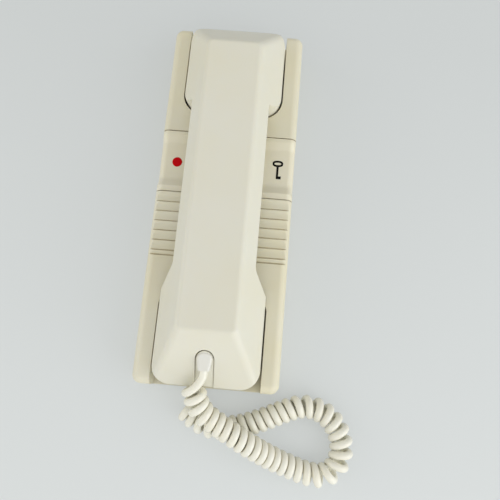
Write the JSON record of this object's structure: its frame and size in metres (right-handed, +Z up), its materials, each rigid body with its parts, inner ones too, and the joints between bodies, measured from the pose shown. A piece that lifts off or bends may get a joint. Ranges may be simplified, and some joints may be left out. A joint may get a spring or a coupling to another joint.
{
  "type": "desk intercom",
  "caption": "Slim ivory door intercom lying on its back: a bevelled handset rests in two wells of a ribbed base with two scooped side keys and a curly cord.",
  "frame": {"origin": "centre of the base's back face, on the surface that the part lies on", "axes": "+Z up from the back plate to the handset's face, +Y along the handset to its ear end, +X to the side of the door key"},
  "size_m": [0.1244, 0.2676, 0.051],
  "materials": {
    "ivory_plastic": "satin",
    "grey_plastic": "matte",
    "white_vinyl": "satin",
    "steel": "polished",
    "board_laminate": "matte",
    "green_plastic": "satin",
    "black_plastic": "satin",
    "bronze": "polished",
    "capsule_alloy": "satin",
    "rubber": "matte"
  },
  "bodies": {
    "base": {"front_casing": "ivory_plastic", "back_plate": "grey_plastic", "casing_screws": "steel", "circuit_board": "board_laminate", "board_screws": "steel", "terminal_block": "green_plastic", "terminal_screws": "steel", "buzzer": "black_plastic", "capacitors": "black_plastic", "resistors": "black_plastic", "contact_pads": "bronze", "door_contact": "bronze", "call_contact": "bronze", "hook_contact": "bronze", "hook_pivot_pin": "steel", "key_pivot_pins": "steel", "base_cord_gland": "white_vinyl", "cord_base_tail": "white_vinyl", "cord_curls": "white_vinyl"},
    "handset": {"handset_shell": "ivory_plastic", "handset_cover": "ivory_plastic", "handset_screws": "steel", "receiver_capsule": "capsule_alloy", "receiver_gasket": "rubber", "microphone_capsule": "capsule_alloy", "microphone_gasket": "rubber", "cord_boot": "white_vinyl", "cord_handset_lead": "white_vinyl"},
    "door_key": {"door_key": "ivory_plastic"},
    "call_key": {"call_key": "ivory_plastic"},
    "hook_lever": {"hook_lever": "black_plastic"}
  },
  "joints": [
    {"name": "handset_lift", "type": "slide", "parent": "base", "child": "handset", "axis": [0, 0, 1], "range_m": [0, 0.04], "deforming": ["cord_handset_lead", "cord_curls", "cord_base_tail"]},
    {"name": "door_key_tilt", "type": "hinge", "parent": "base", "child": "door_key", "pos_m": [0.029, 0.043, 0.019], "axis": [1, 0, 0], "range_deg": [0, 3.5], "stiffness_Nm_per_rad": 0.6, "springref_deg": -1.72, "deforming": ["door_contact"]},
    {"name": "call_key_tilt", "type": "hinge", "parent": "base", "child": "call_key", "pos_m": [-0.029, 0.043, 0.019], "axis": [1, 0, 0], "range_deg": [0, 3.5], "stiffness_Nm_per_rad": 0.6, "springref_deg": -1.72, "deforming": ["call_contact"]},
    {"name": "hook_lever_swing", "type": "hinge", "parent": "base", "child": "hook_lever", "pos_m": [0, 0.06, 0.0053], "axis": [1, 0, 0], "range_deg": [0, 7], "deforming": ["hook_contact"]}
  ],
  "couplings": [
    {"joint": "hook_lever_swing", "follows": "handset_lift", "rad_per_m": 3.05}
  ]
}
